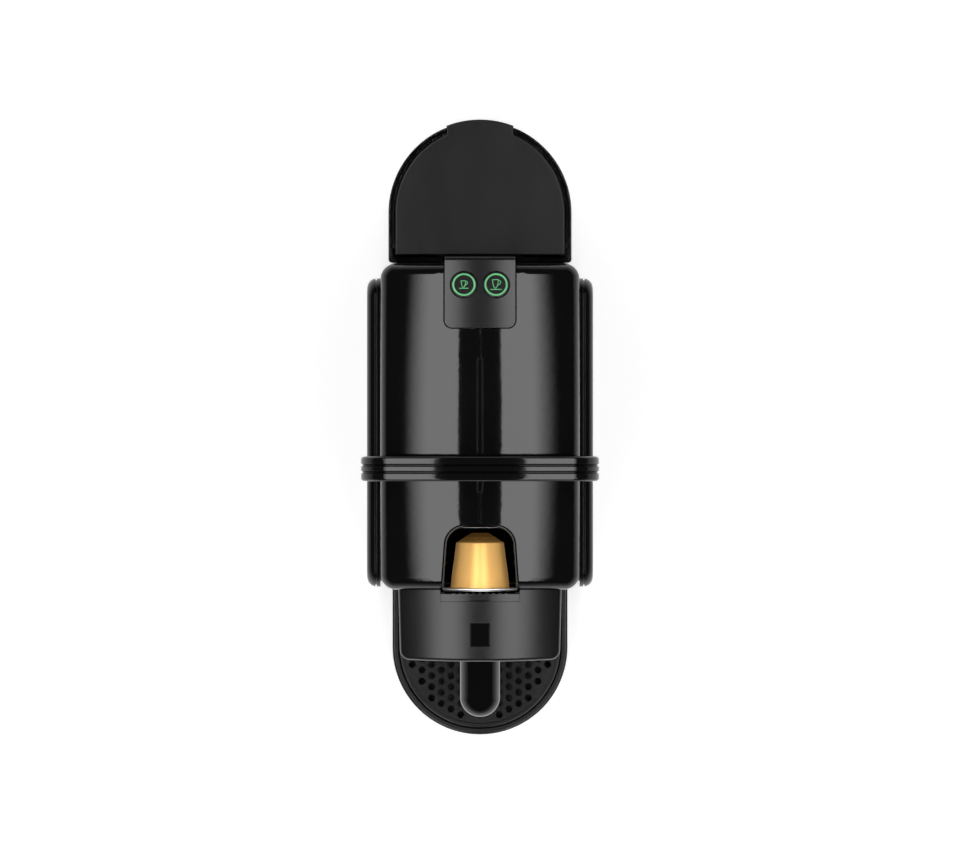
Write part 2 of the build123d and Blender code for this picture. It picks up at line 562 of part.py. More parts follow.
def buttons():
    frame = key_frame()
    for side, name in zip(SIDES, ("small_cup", "large_cup")):
        seat = frame * Pos(side * BUTTON_X, 0, 0)
        cap = Pos(0, 0, -2.3) * Cylinder(BUTTON_R, 5.0)
        cap = fillet(cap.faces().sort_by(Axis.Z)[-1].edges(), 0.7)
        cap += Pos(0, 0, -4.6) * Cylinder(8.0, 1.0)
        ring_groove = Pos(0, 0, -0.3) * (Cylinder(5.9, 1.4) - Cylinder(5.0, 1.4))
        save(f"{name}_button", seat * (cap - ring_groove))
        ring = Pos(0, 0, -0.35) * (Cylinder(5.88, 1.3) - Cylinder(5.02, 1.3))
        save(f"{name}_light_ring", seat * ring)
    board = frame * Pos(0, 0, -12.0) * Box(33, 24, 1.6)
    switches = []
    for side in SIDES:
        body = Pos(side * BUTTON_X, 0, -9.6) * Box(6.2, 6.2, 3.2) + Pos(side * BUTTON_X, 0, -7.4) * Cylinder(1.7, 1.2)
        switches.append(frame * body)
    return board, switches


# ---------------------------------------------------------------- drip tray, cup support, pod bin
def grid_holes():
    """Centres of the honeycomb holes, inside a circle about the tray's round front."""
    spacing_x = GRID_PITCH * sqrt(3) / 2
    row0, reach = -141.0, 37.9
    found = []
    for k in range(-7, 8):
        shift = 0.0 if k % 2 else GRID_PITCH / 2
        for n in range(-3, 9):
            x, y = k * spacing_x, row0 + shift + n * GRID_PITCH
            inside = y > TRAY_CY or (x * x + (y - TRAY_CY) ** 2) < reach ** 2
            if inside and -154.5 < y < -96:
                found.append((x, y))
    return found


def drip_tray():
    back = TRAY_BACK
    outer = d_plan(TRAY_R, TRAY_CY, back, -1)
    inner = d_plan(TRAY_R - TRAY_WALL, TRAY_CY, back - 2.5, -1)
    tray = prism(outer, TRAY_FLOOR_Z, TRAY_TOP)
    lower = [e for e in tray.faces().sort_by(Axis.Z)[0].edges() if e.center().Y < back - 1]
    tray = fillet(lower, 2.0)
    upper = [e for e in tray.faces().sort_by(Axis.Z)[-1].edges() if e.center().Y < back - 1]
    tray = fillet(upper, 1.2)
    tray -= prism(inner, TRAY_FLOOR_Z + 2.5, TRAY_TOP + 5)
    ledge = d_plan(TRAY_R - TRAY_WALL + 0.1, TRAY_CY, -84, -1)
    ledge = prism(ledge, 27.0, 30.0) - prism(d_plan(TRAY_R - 6, TRAY_CY, -80, -1), 20, 40)
    tray += ledge & span(-50, 50, FRONT, -90, 0, 60)
    tray -= rod_x(1.6, -TRAY_R + 1.2, TRAY_R - 1.2, HINGE_Y, HINGE_Z)
    save("drip_tray", tray)

    bin_out = span(-BIN_HALF, BIN_HALF, BIN_FRONT + 2, BIN_BACK, TRAY_FLOOR_Z + 2.6, BIN_TOP)
    bow = make_face([Polyline((-BIN_HALF, BIN_FRONT + 2.2), (BIN_HALF, BIN_FRONT + 2.2)),
                     ThreePointArc((BIN_HALF, BIN_FRONT + 2.2), (0, BIN_FRONT), (-BIN_HALF, BIN_FRONT + 2.2))])
    bin_out += prism(bow, TRAY_FLOOR_Z + 2.6, BIN_TOP)
    bin_in = span(-BIN_HALF + 2, BIN_HALF - 2, BIN_FRONT + 4.4, BIN_BACK - 2, TRAY_FLOOR_Z + 4.8, BIN_TOP + 5)
    pod_bin = bin_out - bin_in
    drain = [prism(Pos(x, BIN_FRONT + 12) * SlotOverall(14, 2.4), 0, 14) for x in (-24, 0, 24)]
    pod_bin -= drain[0] + drain[1] + drain[2]
    save("pod_bin", pod_bin)


def cup_support():
    """Folding support: a D frame that turns up about pins at its back, and the drip grid held in it."""
    back = HINGE_Y + 2.0
    outer = prism(d_plan(SUPPORT_R, TRAY_CY, back, -1), 30.3, 35.6)
    top_edges = [e for e in outer.faces().sort_by(Axis.Z)[-1].edges() if e.center().Y < back - 1]
    outer = fillet(top_edges, 0.8)
    frame = outer - prism(d_plan(SUPPORT_R - 2.4, TRAY_CY, back - 6.0, -1), 32.5, 50)
    frame -= prism(d_plan(SUPPORT_R - 3.4, TRAY_CY, back - 7.0, -1), 20, 50)
    knuckle = rod_x(2.4, -SUPPORT_R, SUPPORT_R, HINGE_Y, HINGE_Z) & span(-60, 60, -100, back + 3, 0, 35.6)
    pins = mirrored(rod_x(1.4, SUPPORT_R - 1, SUPPORT_R + 1.7, HINGE_Y, HINGE_Z))
    save("cup_support", frame + knuckle + pins)

    plate = prism(d_plan(SUPPORT_R - 2.6, TRAY_CY, back - 6.2, -1), 32.6, 35.2)
    prisms = [Pos(x, y, 34) * extrude(RegularPolygon(GRID_HOLE_R * 1.06, 6), amount=8, both=True)
              for x, y in grid_holes()]
    save("drip_grid", plate - prisms)


# ---------------------------------------------------------------- water tank and dock
def tank():
    outer = prism(d_plan(TANK_R, TANK_CY, TANK_FRONT, 1), TANK_BOTTOM, TANK_TOP)
    uprights = [e for e in outer.edges().filter_by(Axis.Z) if e.center().Y < TANK_FRONT + 0.5]
    outer = fillet(uprights, 1.6)
    outer = fillet(outer.faces().sort_by(Axis.Z)[0].edges(), 1.4)
    outer = fillet(outer.faces().sort_by(Axis.Z)[-1].edges(), 0.7)
    hollow = prism(d_plan(TANK_R - TANK_WALL, TANK_CY, TANK_FRONT + TANK_WALL, 1), TANK_BOTTOM + 2.5, TANK_TOP + 5)
    channel_half, channel_back = CP_HALF + 1.2, CP_REAR + 0.6
    hollow -= span(-channel_half - TANK_WALL, channel_half + TANK_WALL, TANK_FRONT, channel_back + TANK_WALL, 0, 250)
    body = outer - hollow
    body -= span(-channel_half, channel_half, TANK_FRONT - 1, channel_back, 0, 250)
    body -= span(-TANK_R + 1.6, TANK_R - 1.6, TANK_FRONT - 1, channel_back + TANK_WALL + 1, 188.0, TANK_TOP + 5)
    body -= span(-TAB_HALF - 0.6, TAB_HALF + 0.6, 150, REAR + 5, 190.5, TANK_TOP + 5)
    body -= rod_x(1.6, -TANK_R + 0.7, TANK_R - 0.7, LID_HINGE_Y, LID_HINGE_Z)
    body -= rod_z(8.0, 10, 40, 0, VALVE_Y)
    for side in SIDES:
        body += span(side * 30.0, side * 28.4, TANK_FRONT + 2, TANK_FRONT + 5, 40, 175)
    save("water_tank", body)
    neck = rod_z(12.0, 21.6, TANK_BOTTOM, 0, VALVE_Y) + rod_z(7.9, 21.6, 31.5, 0, VALVE_Y)
    neck -= rod_z(5.6, 20, 32, 0, VALVE_Y)
    neck += (rod_z(5.6, 29.6, 31.5, 0, VALVE_Y) - rod_z(3.2, 20, 40, 0, VALVE_Y))
    save("tank_valve_body", neck)
    plunger = rod_z(2.4, 22.2, 36.0, 0, VALVE_Y) + rod_z(4.9, 22.6, 24.6, 0, VALVE_Y)
    save("tank_valve_plunger", plunger)
    rings = [Pos(0, 0, z) * Pos(0, VALVE_Y, 0) * Torus(3.9, 0.35) for z in (25.4, 26.5, 27.6, 28.7)]
    save("tank_valve_spring", Compound(children=rings))
    mesh = rod_z(7.6, 36.6, 52.0, 0, VALVE_Y) - rod_z(6.8, 30, 51.0, 0, VALVE_Y)
    mesh += rod_z(7.6, 31.6, 36.6, 0, VALVE_Y) - rod_z(6.8, 30, 60, 0, VALVE_Y)
    for i in range(4):
        mesh -= Pos(0, VALVE_Y, 43) * Rot(0, 0, 45 * i) * Box(30, 3.2, 12)
    save("tank_filter", mesh)

    tab_plan = Pos(0, TANK_CY) * Circle(REAR - TANK_CY) & Pos(0, REAR - 6) * Rectangle(2 * TAB_HALF, 12)
    lid_plan = d_plan(LID_R, TANK_CY, LID_FRONT, 1)
    lid = prism(lid_plan + tab_plan, LID_BOTTOM, TANK_TOP)
    lid = fillet(lid.faces().sort_by(Axis.Z)[-1].edges(), 0.6)
    lid += prism(tab_plan - d_plan(LID_R - 1, TANK_CY, LID_FRONT, 1), LID_BOTTOM - 2.6, LID_BOTTOM)
    lid += mirrored(rod_x(1.4, LID_R - 2, LID_R + 1.7, LID_HINGE_Y, LID_HINGE_Z))
    save("tank_lid", lid)


def dock():
    outer = prism(d_plan(TANK_R - 0.5, TANK_CY, 87.6, 1), FLOOR_Z, 26.0)
    outer = fillet(outer.faces().sort_by(Axis.Z)[-1].edges(), 1.0)
    body = outer - prism(d_plan(TANK_R - 3.2, TANK_CY, 92.0, 1), FLOOR_Z - 1, 23.2)
    body += rod_z(15.2, 14.0, 24.0, 0, VALVE_Y)
    body -= rod_z(12.6, 17.5, 30.0, 0, VALVE_Y)
    body += rod_z(2.2, 16.0, 21.9, 0, VALVE_Y)
    outlet = rod_y(3.5, 84.0, VALVE_Y - 14, 0, 15.8)
    body += outlet
    body -= rod_y(2.0, 80.0, VALVE_Y - 8, 0, 15.8) + rod_z(2.0, 14.9, 18.0, 0, VALVE_Y - 8)
    body -= rod_y(6.2, 150, 165, 0, 14.5)
    body -= span(5.0, 18.0, 86, 93, 6.5, 13.0)
    save("tank_dock", body)
    gland = rod_y(6.1, 155.4, 159.6, 0, 14.5) + rod_y(8.0, 153.8, 156.1, 0, 14.5)
    gland -= rod_y(3.6, 140, 170, 0, 14.5)
    save("cord_gland", gland)


# ---------------------------------------------------------------- pump, heater, electrics
def bulkhead():
    """Wall between the wet front and the works, with a shelf that carries the heater and brewing unit."""
    half = SHELL_HALF - WALL - 0.4
    wall = span(-half, half, -9.4, -7.4, FLOOR_Z, 129.6)
    shelf = span(-half, half, -9.4, 80.0, 127.4, 129.6)
    shelf += mirrored(span(39.5, half, -66, -9.4, 127.4, 129.6))
    shelf -= prism(Pos(-20, 21) * Rectangle(20, 20), 120, 135)
    shelf -= prism(Pos(40, 67) * Rectangle(9, 12), 120, 135)
    save("inner_bulkhead", wall + shelf)


def pump():
    """Vibration pump lying along Y: coil, steel bracket, a sliding piston and its spring."""
    x, z = PUMP_X, PUMP_Z
    coil = span(x - 17, x + 17, 26, 56, z - 16, z + 16)
    coil = fillet(coil.edges().filter_by(Axis.Y), 4.0)
    coil -= rod_y(10.0, 20, 60, x, z)
    save("pump_coil", coil)
    bracket = span(x - 19, x + 19, 23.5, 25.9, z - 18, z + 18) + span(x - 19, x + 19, 56.1, 58.5, z - 18, z + 18)
    bracket += span(x - 19, x + 19, 23.5, 58.5, z + 16.2, z + 18)
    bracket -= rod_y(10.0, 0, 80, x, z)
    save("pump_bracket", bracket)
    tube_body = rod_y(9.9, 14.0, 68.0, x, z) + rod_y(4.0, 5.0, 14.0, x, z) + rod_y(3.2, 68.0, 74.0, x, z)
    tube_body -= rod_y(8.2, 20.0, 62.0, x, z)
    tube_body -= rod_y(1.8, 0.0, 25.0, x, z) + rod_y(1.8, 60.0, 85.0, x, z)
    save("pump_tube", tube_body)
    ram = rod_y(7.85, 39.5, 56.0, x, z) + rod_y(3.0, 27.0, 39.5, x, z)
    ram -= rod_y(1.2, 20.0, 60.0, x, z)
    save("pump_piston", ram)
    coils = [Pos(x, y, z) * Rot(90, 0, 0) * Torus(6.2, 0.7) for y in (21.0, 24.6, 28.2, 31.8, 35.4)]
    save("pump_spring", Compound(children=coils))
    block = span(x - 13, x + 13, 14.6, 20.0, FLOOR_Z, z + 2) + span(x - 13, x + 13, 61.0, 66.4, FLOOR_Z, z + 2)
    save("pump_mounts", block - rod_y(9.95, 0, 90, x, z))


def heater():
    """Cast block with a heating coil cast in, its fins on top, standing on four legs."""
    block = span(-30, 30, 34, 82, 158, 196)
    block = fillet(block.edges().filter_by(Axis.Z), 8.0)
    for i in range(4):
        block -= span(-40, 40, 40.0 + 9 * i, 43.0 + 9 * i, 190, 200)
    block += rod_y(3.0, 27.0, 34.5, -20, 168) + rod_y(3.2, 27.8, 34.5, 0, BREW_Z)
    block -= rod_y(1.6, 20.0, 40.0, -20, 168) + rod_y(1.6, 20.0, 40.0, 0, BREW_Z)
    for x in (-22, 22):
        for y in (42, 74):
            block += rod_z(3.5, 129.6, 158.5, x, y)
    save("thermoblock", block)


def flow_meter():
    cx, cy, z0, z1 = METER_X, METER_Y, 113.2, 127.3
    nipple_z = 120.0
    body = rod_z(14.0, z0, z1, cx, cy)
    for dx in (-7, 7):
        body += rod_y(3.0, cy + 8, cy + 20, cx + dx, nipple_z)
    body -= rod_z(11.5, z0 + 2, z1 - 2, cx, cy)
    for dx in (-7, 7):
        body -= rod_y(1.5, cy + 6, cy + 25, cx + dx, nipple_z)
    body += rod_z(0.9, z0 + 1, z1 - 1, cx, cy)
    save("flow_meter_body", body)
    rotor = rod_z(3.0, z0 + 4, z1 - 4, cx, cy)
    for i in range(6):
        rotor += Pos(cx, cy, 0) * Rot(0, 0, 60 * i) * span(2.0, 10.5, -0.5, 0.5, z0 + 4, z1 - 4)
    save("flow_meter_rotor", rotor - rod_z(1.2, z0, z1, cx, cy))


def electrics():
    key_board, switches = buttons()
    main_board = span(42.5, 44.1, 4, 80, 40, 120)
    save("circuit_boards", Compound(children=[*main_board.solids(), *key_board.solids()]))
    bits = [span(30.5, 42.4, 12, 30, 46, 62), span(34.5, 42.4, 36, 48, 48, 66),
            rod_x(6.5, 30.0, 42.4, 24, 92), span(36.0, 42.4, 40, 54, 100, 110), span(38.0, 42.4, 60, 74, 70, 84)]
    thermostats = [rod_z(7.0, 196.1, 202.0, -18, 72), rod_z(5.0, 196.1, 200.0, -1, 74)]
    loose = [solid for piece in bits + switches + thermostats for solid in piece.solids()]
    save("electrical_parts", Compound(children=loose))
    base_screws = [rod_z(3.0, 0.9, FOOT_H - 0.05, x * 42.5, y) for x in SIDES for y in (-66.0, 72.0)]
    frame_screws = []
    for x in SIDES:
        for z in (156.0, 188.0):
            head = rod_y(3.0, -93.2, -91.05, x * 30, z)
            frame_screws.append(head - Pos(x * 30, -93.2, z) * Box(4.2, 1.6, 0.9))
    save("housing_screws", Compound(children=base_screws + frame_screws))


def pipework():
    """Hoses in the order the water takes, and the wiring."""
    dock_end = (0, 83.9, 15.8)
    meter_in = (METER_X + 7, METER_Y + 20.1, 120.0)
    meter_out = (METER_X - 7, METER_Y + 20.1, 120.0)
    pump_in = (PUMP_X, 74.1, PUMP_Z)
    pump_out = (PUMP_X, 4.9, PUMP_Z)
    heater_in = (-20, 26.9, 168.0)
    tank_run = hose([dock_end, (0, 72, 15.8), (25, 72, 15.8), (25, 72, 120), meter_in], [6, 7, 8], 2.3)
    meter_run = hose([meter_out, (11, 80, 120), (PUMP_X, 80, 100), (PUMP_X, 80, PUMP_Z), pump_in], [8, 8, 5], 2.3)
    heater_run = hose([pump_out, (PUMP_X, -2, PUMP_Z), (PUMP_X, -2, 84), (-20, 21.5, 112), (-20, 21.5, 168),
                       heater_in], [5, 8, 8, 4], 2.1)
    coupling = rod_y(5.0, 27.1, 33.8, 0, BREW_Z) - rod_y(3.3, 20, 40, 0, BREW_Z)
    save("water_hoses", Compound(children=[tank_run, meter_run, heater_run, coupling]))
    mains = tube([(0, 153.6, 14.5), (0, 143, 14.5), (20, 126, 9.6), (20, 100, 9.6), (10, 90, 9.6), (10, 80, 9.6),
                  (40.2, 65, 12), (40.2, 65, 69.9)], [5, 5, 5, 4, 4, 6], 2.0)
    keys = tube([(40, 67, 84.1), (40, 67, 196), (13, 71, 203), (13, 72.5, 208.5)], [8, 3], 1.6)
    save("wiring_loom", Compound(children=[mains, keys]))


def build():
    housing()
    side_panel()
    base()
    outlet_head()
    spout()
    coffee_duct()
    slot_liner()
    pod()
    brew_frame()
    extraction_plate()
    pod_guide()
    carriage()
    lever()
    control_panel()
    drip_tray()
    cup_support()
    tank()
    dock()
    bulkhead()
    pump()
    heater()
    flow_meter()
    electrics()
    pipework()
    os.makedirs("parts", exist_ok=True)
    for name, shape in parts.items():
        export_step(shape, f"parts/{name}.step")
    print(len(parts), "parts")


build()
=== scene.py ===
# %% [markdown]
# # Pod coffee machine
# A slim black kitchen machine: a glossy crowned housing, a hoop lever over a pod slot, an outlet
# head with a spout, a round drip tray in front and a smoked water tank behind. The shapes come from
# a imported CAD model, which is loaded here as a fixed frame. This notebook gives every piece its
# finish, adds the small details that are easier to make as meshes than as solids, and sets up the
# light, the floor and the camera.

# %% Load the fixed frame
import json
import math

import bmesh
import bpy
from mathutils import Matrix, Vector


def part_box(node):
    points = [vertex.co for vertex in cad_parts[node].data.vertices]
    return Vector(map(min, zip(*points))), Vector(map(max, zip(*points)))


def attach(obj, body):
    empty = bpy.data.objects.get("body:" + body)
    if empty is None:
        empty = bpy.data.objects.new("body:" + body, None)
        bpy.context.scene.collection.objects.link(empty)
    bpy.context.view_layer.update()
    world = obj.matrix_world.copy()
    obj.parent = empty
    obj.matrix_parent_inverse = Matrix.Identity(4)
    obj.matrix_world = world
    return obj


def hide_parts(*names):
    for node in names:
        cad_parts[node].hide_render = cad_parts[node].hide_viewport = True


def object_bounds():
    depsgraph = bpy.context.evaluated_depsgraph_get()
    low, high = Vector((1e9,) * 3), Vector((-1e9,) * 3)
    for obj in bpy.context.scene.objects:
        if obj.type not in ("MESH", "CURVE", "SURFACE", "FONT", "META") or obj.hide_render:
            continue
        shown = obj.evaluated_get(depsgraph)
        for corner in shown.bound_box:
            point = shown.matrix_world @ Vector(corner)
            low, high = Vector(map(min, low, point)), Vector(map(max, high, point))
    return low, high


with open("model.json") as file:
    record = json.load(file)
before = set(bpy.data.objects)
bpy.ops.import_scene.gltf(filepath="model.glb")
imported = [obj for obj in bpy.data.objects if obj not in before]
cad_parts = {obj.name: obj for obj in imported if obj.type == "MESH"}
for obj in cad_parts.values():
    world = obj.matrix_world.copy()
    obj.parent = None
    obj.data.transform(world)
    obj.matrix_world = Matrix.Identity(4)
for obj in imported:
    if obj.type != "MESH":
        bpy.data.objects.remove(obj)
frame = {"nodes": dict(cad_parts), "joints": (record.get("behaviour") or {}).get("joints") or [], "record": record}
cad_low, cad_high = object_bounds()
MM = 0.001
size_mm = [round(v / MM, 1) for v in cad_high - cad_low]
print("CAD pieces:", len(frame["nodes"]), "size in mm:", size_mm)

# %% [markdown]
# ## Shader building blocks
# A finish reads as real because of what happens at several scales at once: a fine grain from the
# mould, faint smears where hands touch, edges that are rubbed a little smoother, and dust on what
# faces up. Each of these is used by many finishes, so each is built once as a node group with named
# sockets, and every material places the group with its own values. A group only gives out masks and
# heights. The shader itself stays in the material, where an exporter can find it. A few short
# helpers place nodes, join them, do arithmetic and start a group, and three more make a material,
# put a mesh or curve into the scene, and split a point into its coordinates.


# %% Helpers for placing and joining nodes
def place(tree, kind, **settings):
    """A new node in a tree, with its properties and unlinked inputs set by name."""
    node = tree.nodes.new(kind)
    for key, value in settings.items():
        if hasattr(node, key):
            setattr(node, key, value)
        else:
            node.inputs[key.replace("_", " ").title()].default_value = value
    return node


def join(tree, out_socket, in_socket):
    """A link from one node's output to another's input."""
    tree.links.new(out_socket, in_socket)


def maths(tree, operation, first, second=None, clamp=False):
    """One arithmetic node; each value is a number or a socket."""
    node = tree.nodes.new("ShaderNodeMath")
    node.operation = operation
    node.use_clamp = clamp
    for socket, value in zip(node.inputs, (first, second)):
        if value is None:
            continue
        if isinstance(value, (int, float)):
            socket.default_value = value
        else:
            join(tree, value, socket)
    return node.outputs[0]


def new_group(name, inputs, outputs):
    """An empty shader group with float or vector sockets, and its input and output nodes."""
    tree = bpy.data.node_groups.new(name, "ShaderNodeTree")
    for label, kind, default in inputs:
        socket = tree.interface.new_socket(label, in_out="INPUT", socket_type=kind)
        socket.default_value = default
    for label, kind in outputs:
        tree.interface.new_socket(label, in_out="OUTPUT", socket_type=kind)
    return tree, tree.nodes.new("NodeGroupInput"), tree.nodes.new("NodeGroupOutput")


def new_material(name):
    """A material with nodes; returns it, its node tree and its Principled shader."""
    material = bpy.data.materials.new(name)
    material.use_nodes = True
    return material, material.node_tree, material.node_tree.nodes["Principled BSDF"]


def add_object(name, data, material=None):
    """An object for a mesh, a curve, a lamp or a camera, linked to the scene."""
    if material:
        data.materials.append(material)
    made = bpy.data.objects.new(name, data)
    bpy.context.scene.collection.objects.link(made)
    return made


def position(tree, output="Object"):
    """The point being shaded, in the object's own metres, or another output of the same node."""
    return place(tree, "ShaderNodeTexCoord").outputs[output]


def split_axes(tree, vector):
    """A node with the X, Y and Z of a vector."""
    split = place(tree, "ShaderNodeSeparateXYZ")
    join(tree, vector, split.inputs[0])
    return split


FLOAT, VECTOR = "NodeSocketFloat", "NodeSocketVector"
MM_IN_A_METRE = 1000.0
print("helpers ready")


# %% [markdown]
# ### Moulded grain
# Plastic parts copy the texture of their steel mould, a spark-eroded grain a few tenths of a
# millimetre across. Noise in object space gives it without any unwrapping, because the pieces are
# modelled at full size in metres. A second, coarser noise varies the tone slightly, as real
# mouldings do where the melt cooled unevenly.


# %% Build the moulded grain group
def build_grain_group():
    tree, given, result = new_group(
        "Moulded grain",
        [("Grain size mm", FLOAT, 0.4), ("Patch size mm", FLOAT, 20.0)],
        [("Height", FLOAT), ("Tone", FLOAT)],
    )
    where = position(tree)
    fine = place(tree, "ShaderNodeTexNoise", detail=2.0, roughness=0.6)
    coarse = place(tree, "ShaderNodeTexNoise", detail=3.0, roughness=0.5)
    for noise, label in ((fine, "Grain size mm"), (coarse, "Patch size mm")):
        join(tree, where, noise.inputs["Vector"])
        join(tree, maths(tree, "DIVIDE", MM_IN_A_METRE, given.outputs[label]), noise.inputs["Scale"])
    join(tree, fine.outputs[0], result.inputs["Height"])
    join(tree, coarse.outputs[0], result.inputs["Tone"])
    return tree


grain_group = build_grain_group()
print("group:", grain_group.name)


# %% [markdown]
# ### Rubbed edges
# Corners and rims lose their grain first. The Bevel node gives the normal that a slightly rounded
# edge would have; where it differs from the true normal there is an edge, so one minus their dot
# product is an edge mask. Noise breaks it up, because wear is never an even line.


# %% Build the rubbed edge group
BEVEL_SAMPLES = 4
EDGE_GAIN = 4.0
WEAR_PATCHES_PER_METRE = 350.0


def build_edge_group():
    tree, given, result = new_group(
        "Rubbed edges", [("Width", FLOAT, 0.0006), ("Breakup", FLOAT, 0.5)], [("Edge", FLOAT)]
    )
    rounded = place(tree, "ShaderNodeBevel", samples=BEVEL_SAMPLES)
    join(tree, given.outputs["Width"], rounded.inputs["Radius"])
    true_normal = place(tree, "ShaderNodeNewGeometry")
    turn = place(tree, "ShaderNodeVectorMath", operation="DOT_PRODUCT")
    join(tree, rounded.outputs[0], turn.inputs[0])
    join(tree, true_normal.outputs["Normal"], turn.inputs[1])
    bend = maths(tree, "SUBTRACT", 1.0, turn.outputs["Value"])
    bend = maths(tree, "MULTIPLY", bend, EDGE_GAIN, clamp=True)
    patches = place(tree, "ShaderNodeTexNoise", scale=WEAR_PATCHES_PER_METRE, detail=2.0)
    join(tree, position(tree), patches.inputs["Vector"])
    gaps = maths(tree, "MULTIPLY", patches.outputs[0], given.outputs["Breakup"])
    keep = maths(tree, "SUBTRACT", 1.0, gaps)
    join(tree, maths(tree, "MULTIPLY", bend, keep, clamp=True), result.inputs["Edge"])
    return tree


edge_group = build_edge_group()
print("group:", edge_group.name)


# %% [markdown]
# ### Settled dust and handling smears
# Dust lies on what faces up and gathers in specks. Smears are broad, soft patches where a surface
# has been touched or wiped, and they change how sharp a reflection is rather than its colour. Both
# are masks from noise, the dust one multiplied by how far the surface faces upward.


# %% Build the dust and smear groups
SPECKS_PER_METRE = 1800.0


def above(tree, value, threshold, gain):
    """0 below a threshold, rising to 1 above it as fast as the gain says."""
    return maths(tree, "MULTIPLY", maths(tree, "SUBTRACT", value, threshold), gain, clamp=True)


def build_dust_group():
    tree, given, result = new_group("Settled dust", [("Amount", FLOAT, 0.2)], [("Dust", FLOAT)])
    facing = place(tree, "ShaderNodeNewGeometry")
    upward = above(tree, split_axes(tree, facing.outputs["Normal"]).outputs["Z"], 0.5, 2.0)
    specks = place(tree, "ShaderNodeTexNoise", scale=SPECKS_PER_METRE, detail=4.0, roughness=0.8)
    join(tree, position(tree), specks.inputs["Vector"])
    sparse = above(tree, specks.outputs[0], 0.62, 6.0)
    dust = maths(tree, "MULTIPLY", maths(tree, "MULTIPLY", upward, sparse), given.outputs["Amount"])
    join(tree, dust, result.inputs["Dust"])
    return tree


def build_smear_group():
    tree, given, result = new_group("Handling smears", [("Size mm", FLOAT, 30.0)], [("Smear", FLOAT)])
    stretch = place(tree, "ShaderNodeMapping")
    stretch.inputs["Scale"].default_value = (1.0, 0.45, 1.0)
    stretch.inputs["Rotation"].default_value = (0.3, 0.2, 0.6)
    soft = place(tree, "ShaderNodeTexNoise", detail=5.0, roughness=0.55, distortion=0.8)
    join(tree, position(tree), stretch.inputs["Vector"])
    join(tree, stretch.outputs[0], soft.inputs["Vector"])
    join(tree, maths(tree, "DIVIDE", MM_IN_A_METRE, given.outputs["Size mm"]), soft.inputs["Scale"])
    join(tree, above(tree, soft.outputs[0], 0.4, 2.5), result.inputs["Smear"])
    return tree


dust_group = build_dust_group()
smear_group = build_smear_group()
print("groups:", dust_group.name, "and", smear_group.name)


# %% [markdown]
# ### Drawn lines
# Rolled, drawn and brushed metal all carry long parallel lines. The same noise is squeezed up to a
# hundred times harder across the lines than along them, which turns its blobs into streaks. The
# squeeze is a vector input, so each metal can run its lines along its own length.


# %% Build the drawn line group
def build_line_group():
    tree, given, result = new_group(
        "Drawn lines",
        [("Squeeze", VECTOR, (4000.0, 40.0, 4000.0))],
        [("Height", FLOAT), ("Tone", FLOAT)],
    )
    squeezed = place(tree, "ShaderNodeVectorMath", operation="MULTIPLY")
    join(tree, position(tree), squeezed.inputs[0])
    join(tree, given.outputs["Squeeze"], squeezed.inputs[1])
    lines = place(tree, "ShaderNodeTexNoise", scale=1.0, detail=3.0, roughness=0.7)
    join(tree, squeezed.outputs[0], lines.inputs["Vector"])
    join(tree, lines.outputs[0], result.inputs["Height"])
    join(tree, above(tree, lines.outputs[0], 0.35, 3.0), result.inputs["Tone"])
    return tree


line_group = build_line_group()
print("group:", line_group.name)


# %% [markdown]
# ## A finish, from base to surface
# Every finish starts the same way: a base colour that the dust and the edges shift a little, a
# roughness that smears, dust and edges vary, and a bump from the grain laid over a slightly
# rounded normal, so that no edge is razor sharp. This helper wires that up and hands back the
# parts, so a finish with something special, such as brushing or a printed pattern, can add to them.
# Constant values such as metal or glass weights are set on the shader's own sockets.


# %% Write the finish helper
DUST_COLOUR = (0.32, 0.31, 0.30)
WORN_GAIN, WORN_LIFT = 2.2, 0.004
EDGE_TINT, DUST_ROUGHNESS, EDGE_POLISH = 0.5, 0.5, 0.25
GRAIN_RELIEF = 0.25


def add_group(tree, group, **values):
    """A shader group placed in a material, with its own input values."""
    node = tree.nodes.new("ShaderNodeGroup")
    node.node_tree = group
    for key, value in values.items():
        node.inputs[key.replace("_", " ")].default_value = value
    return node


def blend_colour(tree, mask, under, over):
    """Colour under where the mask is 0 and over where it is 1; under is a colour or a socket."""
    mix = tree.nodes.new("ShaderNodeMix")
    mix.data_type = "RGBA"
    join(tree, mask, mix.inputs["Factor"])
    if isinstance(under, tuple):
        mix.inputs["A"].default_value = (*under, 1.0)
    else:
        join(tree, under, mix.inputs["A"])
    mix.inputs["B"].default_value = (*over, 1.0)
    return mix.outputs["Result"]


